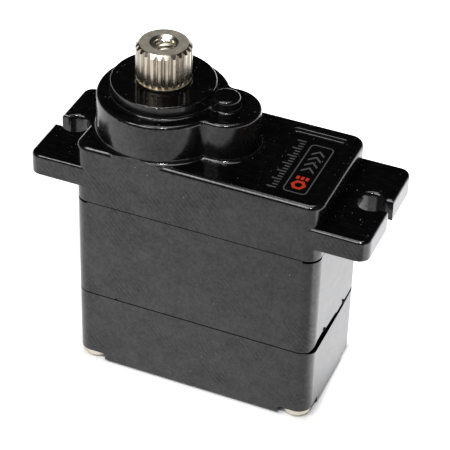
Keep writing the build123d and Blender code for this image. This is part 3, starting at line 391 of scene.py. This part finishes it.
def case_plastic():
    """Glossy black moulded plastic: grained walls with hairlines, dust on the upper faces."""
    finish = Finish("black_moulded_plastic", IOR=1.53)
    up = finish.ramp(finish.up, 0.55, 0.90)
    level = finish.ramp(finish.up, 0.96, 0.995)
    wall = finish.minus(1.0, up)
    grain = finish.noise(9.0, 4.0, 0.65)
    cloud = finish.noise(0.35, 3.0, 0.55)
    tint = finish.noise(0.8, 4.0, 0.6, finish.stretched(offset=(3, 9, 4)))
    mottle = finish.noise(3.2, 5.0, 0.75, finish.stretched(offset=(8, 1, 2)))
    smudges = finish.noise(1.0, 3.0, 0.6, finish.stretched((0, 0, 35), (0.7, 4.0, 4.0)))
    scratches = plastic_scratches(finish)
    dust = plastic_dust(finish, up)

    haze = finish.times(finish.ramp(mottle, 0.35, 0.75), wall)
    plain = finish.mix(haze, deep_black, finish.mix(tint, wall_cool, wall_warm))
    veil = finish.times(finish.ramp(smudges, 0.52, 0.80), up)
    greyed = finish.mix(finish.times(veil, 0.5), plain, smudge_grey)
    finish.colour(finish.times(dust, 0.70), greyed, dust_grey)

    matt = finish.plus(finish.times(cloud, 0.20), finish.times(grain, 0.20))
    matt = finish.plus(matt, finish.times(wall, 0.40))
    finish.roughness(finish.larger(matt, scratches), 0.015, 0.28)

    ridges = finish.node(
        "ShaderNodeTexWave",
        {
            "Vector": finish.stretched((0, 40, 0)),
            "Scale": 0.80,
            "Distortion": 4.0,
            "Detail": 2.0,
            "Detail Scale": 0.6,
        },
    ).outputs["Fac"]
    touched = finish.noise(0.22, 1.0, 0.5, finish.stretched(offset=(1, 4, 6)))
    fingerprints = finish.times(ridges, finish.ramp(touched, 0.50, 0.62))
    lustre = finish.plus(finish.times(mottle, 0.65), finish.times(tint, 0.35))
    lustre = finish.minus(lustre, finish.times(fingerprints, 0.10))
    lustre = finish.minus(lustre, finish.times(scratches, 0.06))
    lustre = finish.minus(lustre, finish.times(level, 0.34))
    finish.lustre(lustre, 0.02, 1.00)

    finish.bump(grain, 0.0035, 0.6)
    finish.bump(scratches, 0.0030, 0.5)
    finish.bump(dust, 0.02, 0.5)
    return finish.material


def machined_metal(name, dark, light, smooth, rough, rings_per_mm=18.0, grain=1.0):
    """Turned or milled metal with fine tool marks that run round the Z axis."""
    finish = Finish(name, Metallic=1.0, IOR=1.5)
    marks = finish.noise(1.0, 3.0, 0.6, finish.stretched(scale=(2.0, 2.0, rings_per_mm)))
    stain = finish.noise(0.8, 4.0, 0.6)
    fine = finish.noise(14.0, 2.0, 0.6)
    finish.colour(finish.times(stain, marks), dark, light)
    mixed = finish.plus(finish.times(marks, 0.6), finish.times(fine, 0.4))
    finish.roughness(mixed, smooth, rough)
    finish.bump(marks, 0.0030 * grain, 0.7)
    finish.bump(fine, 0.0015 * grain, 0.5)
    return finish.material


def moulded_polymer(name, dark, light, smooth, rough, grain_depth=0.004, speck=None):
    """Plain moulded plastic or rubber with grain, mottling and optional flecks."""
    finish = Finish(name, IOR=1.5)
    cloud = finish.noise(0.9, 3.0, 0.6)
    grain = finish.noise(11.0, 3.0, 0.6)
    if speck:
        finish.colour(finish.spots(5.0, 0.16), finish.mix(cloud, dark, light), speck)
    else:
        finish.colour(cloud, dark, light)
    finish.roughness(grain, smooth, rough)
    finish.bump(grain, grain_depth, 0.6)
    return finish.material


def laminated_steel():
    """Stack of thin punched sheets, each a shade apart from the next."""
    finish = Finish("laminated_core_steel", Metallic=1.0)
    sheets = finish.node(
        "ShaderNodeTexWave",
        {"Vector": finish.place, "Scale": 0.9, "Distortion": 0.0},
        bands_direction="Z",
    ).outputs["Fac"]
    stain = finish.noise(2.0, 3.0)
    finish.colour(finish.times(sheets, stain), (0.22, 0.22, 0.23), (0.46, 0.46, 0.47))
    finish.roughness(stain, 0.32, 0.55)
    finish.bump(sheets, 0.02, 0.8)
    return finish.material


def wound_copper():
    """Enamelled wire laid in even turns."""
    finish = Finish("enamelled_copper", Metallic=0.85, Coat_Weight=0.6, Coat_Roughness=0.12)
    turns = finish.node(
        "ShaderNodeTexWave",
        {"Vector": finish.place, "Scale": 2.4, "Distortion": 0.6, "Detail": 1.0},
        bands_direction="Z",
    ).outputs["Fac"]
    stain = finish.noise(1.6, 3.0)
    finish.colour(finish.times(turns, stain), (0.34, 0.10, 0.035), (0.78, 0.30, 0.13))
    finish.roughness(stain, 0.22, 0.42)
    finish.bump(turns, 0.05, 0.9)
    return finish.material


def solder_mask():
    """Green circuit board with traces, pads and a woven core."""
    finish = Finish("green_circuit_board", IOR=1.5)
    weave = finish.node(
        "ShaderNodeTexBrick",
        {
            "Vector": finish.place,
            "Scale": 2.0,
            "Mortar Size": 0.02,
            "Brick Width": 0.5,
            "Row Height": 0.25,
        },
    ).outputs["Fac"]
    cells = finish.node(
        "ShaderNodeTexVoronoi",
        {"Vector": finish.place, "Scale": 0.75},
        distance="MANHATTAN",
        feature="F1",
    )
    traces = finish.ramp(cells.outputs["Distance"], 0.52, 0.50)
    cloud = finish.noise(1.2, 3.0)
    green = finish.mix(cloud, (0.010, 0.075, 0.030), (0.018, 0.120, 0.050))
    finish.colour(finish.times(traces, 0.8), green, (0.030, 0.210, 0.085))
    finish.roughness(cloud, 0.26, 0.42)
    finish.bump(traces, 0.03, 0.6)
    finish.bump(weave, 0.008, 0.5)
    return finish.material


def label_film():
    """Black printed film with a soft gloss, a fine weave of print dots and a little dust."""
    finish = Finish("black_label_film", IOR=1.49, Specular_IOR_Level=0.30)
    dots = finish.spots(12.0, 0.25)
    cloud = finish.noise(0.6, 3.0)
    dust = finish.times(
        finish.spots(3.0, 0.10), finish.ramp(finish.noise(0.5, 2.0), 0.48, 0.62)
    )
    film = finish.mix(cloud, (0.0010, 0.0010, 0.0011), (0.0020, 0.0020, 0.0021))
    finish.colour(dust, film, dust_grey)
    finish.roughness(finish.larger(cloud, dots), 0.06, 0.20)
    finish.bump(dots, 0.002, 0.4)
    finish.bump(cloud, 0.02, 0.35)
    return finish.material


def printed_ink(name, dark, light):
    """Opaque label ink, a little worn and uneven."""
    finish = Finish(name, IOR=1.45, Specular_IOR_Level=0.30)
    wear = finish.noise(7.0, 4.0, 0.65)
    finish.colour(wear, dark, light)
    finish.roughness(wear, 0.32, 0.55)
    finish.bump(wear, 0.003, 0.6)
    return finish.material


def spline_metal():
    """Nickel-plated brass of the output shaft: drawn flanks and a turned, duller end face, with a
    lighter end face as painted light and darker flanks as painted shade.
    """
    finish = Finish("nickel_plated_shaft", Metallic=1.0)
    end_face = finish.ramp(finish.up, 0.80, 0.95)
    marks = finish.noise(1.0, 3.0, 0.6, finish.stretched(scale=(1.5, 1.5, 16.0)))
    turned = finish.node(
        "ShaderNodeTexWave",
        {"Vector": finish.place, "Scale": 2.2, "Distortion": 0.8, "Detail": 2.0},
        wave_type="RINGS",
        rings_direction="Z",
    ).outputs["Fac"]
    stain = finish.noise(1.1, 4.0, 0.6)
    fine = finish.noise(12.0, 3.0, 0.65)
    pits = finish.spots(3.0, 0.10)
    patches = finish.noise(1.7, 4.0, 0.7, finish.stretched(offset=(2, 1, 0)))
    streaks = finish.ramp(patches, 0.38, 0.62)

    # painted light and shade: the flanks' colour is kept dark and the end face's light, on top of
    # their stains and turning marks
    flank = finish.mix(stain, (0.32, 0.28, 0.22), (0.68, 0.62, 0.54))
    worked = finish.times(finish.plus(turned, streaks), fine)
    face = finish.mix(worked, (0.60, 0.54, 0.43), (1.00, 0.93, 0.80))
    axis = finish.node("ShaderNodeSeparateXYZ", {"Vector": finish.place})
    x = axis.outputs["X"]
    y = axis.outputs["Y"]
    off_axis = finish.math("SQRT", finish.plus(finish.times(x, x), finish.times(y, y)))
    # painted highlight: the bore and its chamfer get a fixed light colour
    bore = finish.ramp(off_axis, shaft_chamfer_radius, shaft_bore_radius)
    outside = finish.mix(end_face, flank, face)
    plated = finish.mix(bore, outside, (0.72, 0.67, 0.58))
    finish.colour(pits, plated, (0.20, 0.18, 0.14))

    mixed = finish.plus(finish.times(marks, 0.25), finish.times(fine, 0.25))
    mixed = finish.plus(mixed, finish.times(end_face, 0.5))
    finish.roughness(mixed, 0.10, 0.66)
    finish.bump(marks, 0.003, 0.6)
    finish.bump(finish.times(turned, end_face), 0.006, 0.7)
    finish.bump(fine, 0.002, 0.6)
    return finish.material


def torn_plastic():
    """Rough black edge where the moulding flash was torn away."""
    finish = Finish("torn_plastic", IOR=1.30, Specular_IOR_Level=0.15)
    grain = finish.noise(14.0, 4.0, 0.7)
    finish.colour(grain, (0.0010, 0.0010, 0.0010), (0.0050, 0.0048, 0.0045))
    finish.roughness(grain, 0.45, 0.75)
    finish.bump(grain, 0.03, 0.8)
    return finish.material


# material slot: name of its finish, dark and light colour, smoothest and roughest, and extras
metals = {
    "screw_steel": ("zinc_plated_screw", (0.54, 0.50, 0.42), (0.84, 0.79, 0.68), 0.16, 0.38),
    "gear_brass": ("gear_brass", (0.62, 0.43, 0.17), (0.88, 0.67, 0.30), 0.18, 0.38),
    "gear_steel": ("gear_steel", (0.36, 0.36, 0.36), (0.60, 0.60, 0.60), 0.20, 0.40),
    "bearing_steel": (
        "bearing_steel", (0.58, 0.58, 0.58), (0.80, 0.80, 0.80), 0.08, 0.22, 30.0, 0.4
    ),
    "bush_bronze": (
        "sintered_bronze", (0.36, 0.20, 0.09), (0.60, 0.37, 0.19), 0.34, 0.58, 6.0, 1.6
    ),
    "pin_steel": (
        "ground_pin_steel", (0.52, 0.52, 0.53), (0.74, 0.74, 0.75), 0.10, 0.26, 24.0, 0.5
    ),
    "can_steel": (
        "drawn_can_steel", (0.46, 0.46, 0.45), (0.70, 0.70, 0.68), 0.20, 0.42, 10.0, 0.8
    ),
    "contact_copper": ("contact_copper", (0.62, 0.30, 0.17), (0.90, 0.52, 0.34), 0.18, 0.40),
    "terminal_tin": (
        "tinned_terminal", (0.56, 0.56, 0.55), (0.80, 0.80, 0.78), 0.22, 0.46, 5.0, 1.2
    ),
}
polymers = {
    "grommet_rubber": (
        "grommet_rubber", (0.012, 0.012, 0.012), (0.024, 0.024, 0.023), 0.55, 0.80, 0.010
    ),
    "cap_nylon": ("white_nylon", (0.66, 0.65, 0.60), (0.78, 0.77, 0.72), 0.38, 0.56),
    "magnet_ferrite": (
        "sintered_ferrite", (0.040, 0.040, 0.042), (0.080, 0.080, 0.084), 0.50, 0.78, 0.014
    ),
    "pot_plastic": (
        "potentiometer_shell", (0.030, 0.055, 0.120), (0.045, 0.080, 0.165), 0.30, 0.50
    ),
    "pot_rotor_plastic": (
        "potentiometer_rotor", (0.62, 0.60, 0.54), (0.74, 0.72, 0.66), 0.36, 0.54
    ),
    "track_board": (
        "resistance_track", (0.020, 0.018, 0.016), (0.050, 0.044, 0.038), 0.40, 0.62, 0.006,
        (0.20, 0.15, 0.08),
    ),
    "wire_insulation": (
        "wire_insulation", (0.42, 0.018, 0.014), (0.60, 0.030, 0.022), 0.34, 0.52
    ),
    "chip_black": (
        "moulded_chip", (0.014, 0.014, 0.015), (0.026, 0.026, 0.027), 0.42, 0.62, 0.006,
        (0.060, 0.060, 0.060),
    ),
    "ceramic_tan": (
        "fired_ceramic", (0.36, 0.24, 0.13), (0.50, 0.35, 0.20), 0.34, 0.56, 0.006
    ),
}
finishes = {
    "case_plastic": case_plastic(),
    "label_film": label_film(),
    "shaft_metal": spline_metal(),
    "core_steel": laminated_steel(),
    "winding_copper": wound_copper(),
    "board_green": solder_mask(),
}
for slot_name, looks in metals.items():
    finishes[slot_name] = machined_metal(*looks)
for slot_name, looks in polymers.items():
    finishes[slot_name] = moulded_polymer(*looks)
flash_black = torn_plastic()
ink_grey = printed_ink("grey_label_ink", (0.040, 0.041, 0.041), (0.085, 0.086, 0.085))
ink_orange = printed_ink("orange_label_ink", (0.30, 0.018, 0.006), (0.50, 0.036, 0.010))


def dress_nodes():
    """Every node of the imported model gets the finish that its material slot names."""
    for node in nodes.values():
        for index, material in enumerate(node.data.materials):
            node.material_slots[index].material = finishes[material.name.split(".")[0]]


# ---------------------------------------------------------------- mesh kit
def new_piece(name, build, material, body="case"):
    """Adds an object made from a bmesh, riding on a body of the part."""
    bmesh.ops.recalc_face_normals(build, faces=build.faces)
    mesh = bpy.data.meshes.new(name)
    build.to_mesh(mesh)
    build.free()
    mesh.materials.append(material)
    piece = bpy.data.objects.new(name, mesh)
    bpy.context.scene.collection.objects.link(piece)
    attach(piece, body)


def loft(build, rings, closed=False):
    """Skin over rings of the same number of points; the ends are capped unless it closes."""
    rows = [[build.verts.new(point) for point in ring] for ring in rings]
    count = len(rows[0])
    pairs = list(zip(rows, rows[1:] + rows[:1] if closed else rows[1:]))
    for lower, upper in pairs:
        for index in range(count):
            after = (index + 1) % count
            build.faces.new((lower[index], lower[after], upper[after], upper[index]))
    if not closed:
        build.faces.new(list(reversed(rows[0])))
        build.faces.new(rows[-1])


def prism(build, outline, bottom, top):
    """Upright prism over a flat outline in millimetres."""
    loft(
        build,
        [[Vector((x, y, height)) * MM for x, y in outline] for height in (bottom, top)],
    )


def band(build, outer, inner, bottom, top):
    """Flat closed strip between two outlines of the same number of points, in millimetres."""
    rings = [
        [
            Vector((*outside, bottom)) * MM,
            Vector((*outside, top)) * MM,
            Vector((*inside, top)) * MM,
            Vector((*inside, bottom)) * MM,
        ]
        for outside, inside in zip(outer, inner)
    ]
    loft(build, rings, closed=True)


def rounded_outline(left, right, front, back, corner, steps=8):
    """Rounded rectangle as a list of points."""
    points = []
    for x, y, start in (
        (right - corner, back - corner, 0),
        (left + corner, back - corner, 90),
        (left + corner, front + corner, 180),
        (right - corner, front + corner, 270),
    ):
        for step in range(steps + 1):
            angle = math.radians(start + 90 * step / steps)
            points.append((x + corner * math.cos(angle), y + corner * math.sin(angle)))
    return points


def regular_polygon(x, y, radius, sides):
    """Corners of a regular polygon, the first one towards +X."""
    angles = [math.radians(360 * side / sides) for side in range(sides)]
    return [(x + radius * math.cos(angle), y + radius * math.sin(angle)) for angle in angles]


# ---------------------------------------------------------------- horn screw's thread
thread_wall = 1.005 * MM
thread_crest = 0.80 * MM
thread_pitch = 0.40 * MM
thread_start_depth = 0.32 * MM
thread_turns = 14
steps_per_turn = 40
# at each end the ridge runs out over some steps, to a small share of its height
fade_steps = 20
least_ridge = 0.05
# half widths of the ridge at the wall and at its crest, as shares of the pitch
root_half = 0.42
crest_half = 0.07


def circle_point(radius, angle, height):
    """Point round the Z axis."""
    return Vector((radius * math.cos(angle), radius * math.sin(angle), height))


def add_thread():
    """Ridge of the horn screw's thread inside the output shaft."""
    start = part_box("output_gear")[1].z - thread_start_depth
    root = root_half * thread_pitch
    tip = crest_half * thread_pitch
    last = thread_turns * steps_per_turn
    rings = []
    for step in range(last + 1):
        angle = 2 * math.pi * step / steps_per_turn
        height = start - thread_pitch * step / steps_per_turn
        grow = min(1.0, step / fade_steps, (last - step) / fade_steps)
        inner = thread_wall - (thread_wall - thread_crest) * max(grow, least_ridge)
        rings.append(
            [
                circle_point(thread_wall, angle, height + root),
                circle_point(thread_wall, angle, height - root),
                circle_point(inner, angle, height - tip),
                circle_point(inner, angle, height + tip),
            ]
        )
    build = bmesh.new()
    loft(build, rings)
    new_piece("horn_hole_thread", build, finishes["shaft_metal"], "output")


# ---------------------------------------------------------------- label print, in millimetres
ink_sink = 0.005
ink_rise = 0.015

frame_left = 12.72
frame_right = 14.88
frame_front = -4.25
frame_back = 3.05
frame_middle = (frame_left + frame_right) / 2
frame_line = 0.11
frame_corner = 0.45
frame_inner_corner = 0.34

chevron_count = 4
chevron_first_tip = -0.55
chevron_spacing = 0.86
chevron_reach = 0.58
chevron_drop = 0.34
chevron_thick = 0.24

scale_right = 12.20
scale_front = -4.15
scale_back = 3.10
tick_count = 19
long_tick_every = 3
tick_long = 0.85
tick_short = 0.48
tick_half = 0.07
tick_corner = 0.03
tick_corner_steps = 2

nut_y = frame_front + 1.18
nut_sides = 6
nut_outer = 0.68
nut_inner = 0.36

bar_y = nut_y + 1.02
bar_offsets = (-0.42, 0.0, 0.42)
bar_half_width = 0.14
bar_half_length = 0.22
bar_corner = 0.05
bar_corner_steps = 3


def ink_heights():
    """Underside and top of the ink, which sinks a little into the film."""
    film_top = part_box("label")[1].z / MM
    return film_top - ink_sink, film_top + ink_rise


def add_grey_print():
    """Framed strip with a row of chevrons, and a scale of ticks beside it."""
    heights = ink_heights()
    build = bmesh.new()
    band(
        build,
        rounded_outline(frame_left, frame_right, frame_front, frame_back, frame_corner),
        rounded_outline(
            frame_left + frame_line,
            frame_right - frame_line,
            frame_front + frame_line,
            frame_back - frame_line,
            frame_inner_corner,
        ),
        *heights,
    )
    left = frame_middle - chevron_reach
    right = frame_middle + chevron_reach
    for index in range(chevron_count):
        tip = chevron_first_tip + chevron_spacing * index
        end = tip - chevron_drop
        prism(
            build,
            [
                (left, end),
                (left, end - chevron_thick),
                (frame_middle, tip),
                (right, end - chevron_thick),
                (right, end),
                (frame_middle, tip + chevron_thick),
            ],
            *heights,
        )
    spacing = (scale_back - scale_front) / (tick_count - 1)
    for index in range(tick_count):
        y = scale_front + spacing * index
        length = tick_short if index % long_tick_every else tick_long
        tick = rounded_outline(
            scale_right - length, scale_right, y - tick_half, y + tick_half,
            tick_corner, tick_corner_steps,
        )
        prism(build, tick, *heights)
    new_piece("label_print_grey", build, ink_grey)


def add_orange_print():
    """Hexagon nut and three bars inside the framed strip."""
    heights = ink_heights()
    build = bmesh.new()
    band(
        build,
        regular_polygon(frame_middle, nut_y, nut_outer, nut_sides),
        regular_polygon(frame_middle, nut_y, nut_inner, nut_sides),
        *heights,
    )
    for offset in bar_offsets:
        bar_x = frame_middle + offset
        bar = rounded_outline(
            bar_x - bar_half_width, bar_x + bar_half_width,
            bar_y - bar_half_length, bar_y + bar_half_length,
            bar_corner, bar_corner_steps,
        )
        prism(build, bar, *heights)
    new_piece("label_print_orange", build, ink_orange)


# ---------------------------------------------------------------- moulding flash, in millimetres
flash_seed = 12
flash_sink = 0.02
flash_jitter = 0.18
flash_swell = 0.22
swell_along_y = 3.1
swell_along_z = 1.7
# name, place along the seam, height, and half sizes along X, Y and Z
flash_scraps = (
    ("seam_flash_front", -2.60, 8.50, (0.12, 0.34, 0.15)),
    ("seam_flash_back", 2.40, 7.98, (0.14, 0.21, 0.23)),
)


def add_flash():
    """Scraps of moulding flash left on the open seam of the motor end."""
    dice = random.Random(flash_seed)
    face_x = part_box("middle_case")[1].x / MM
    for name, y, z, size in flash_scraps:
        build = bmesh.new()
        bmesh.ops.create_icosphere(build, subdivisions=3, radius=1.0)
        for vertex in build.verts:
            wave = math.sin(swell_along_y * vertex.co.y + swell_along_z * vertex.co.z)
            bulge = 1.0 + flash_jitter * (dice.random() - 0.5)
            bulge += flash_swell * wave
            vertex.co = Vector(
                (
                    face_x + size[0] * bulge * vertex.co.x - flash_sink,
                    y + size[1] * bulge * vertex.co.y,
                    z + size[2] * bulge * vertex.co.z,
                )
            ) * MM
        new_piece(name, build, flash_black)


# ---------------------------------------------------------------- everything
add_camera()
add_studio()
dress_nodes()
add_thread()
add_grey_print()
add_orange_print()
add_flash()
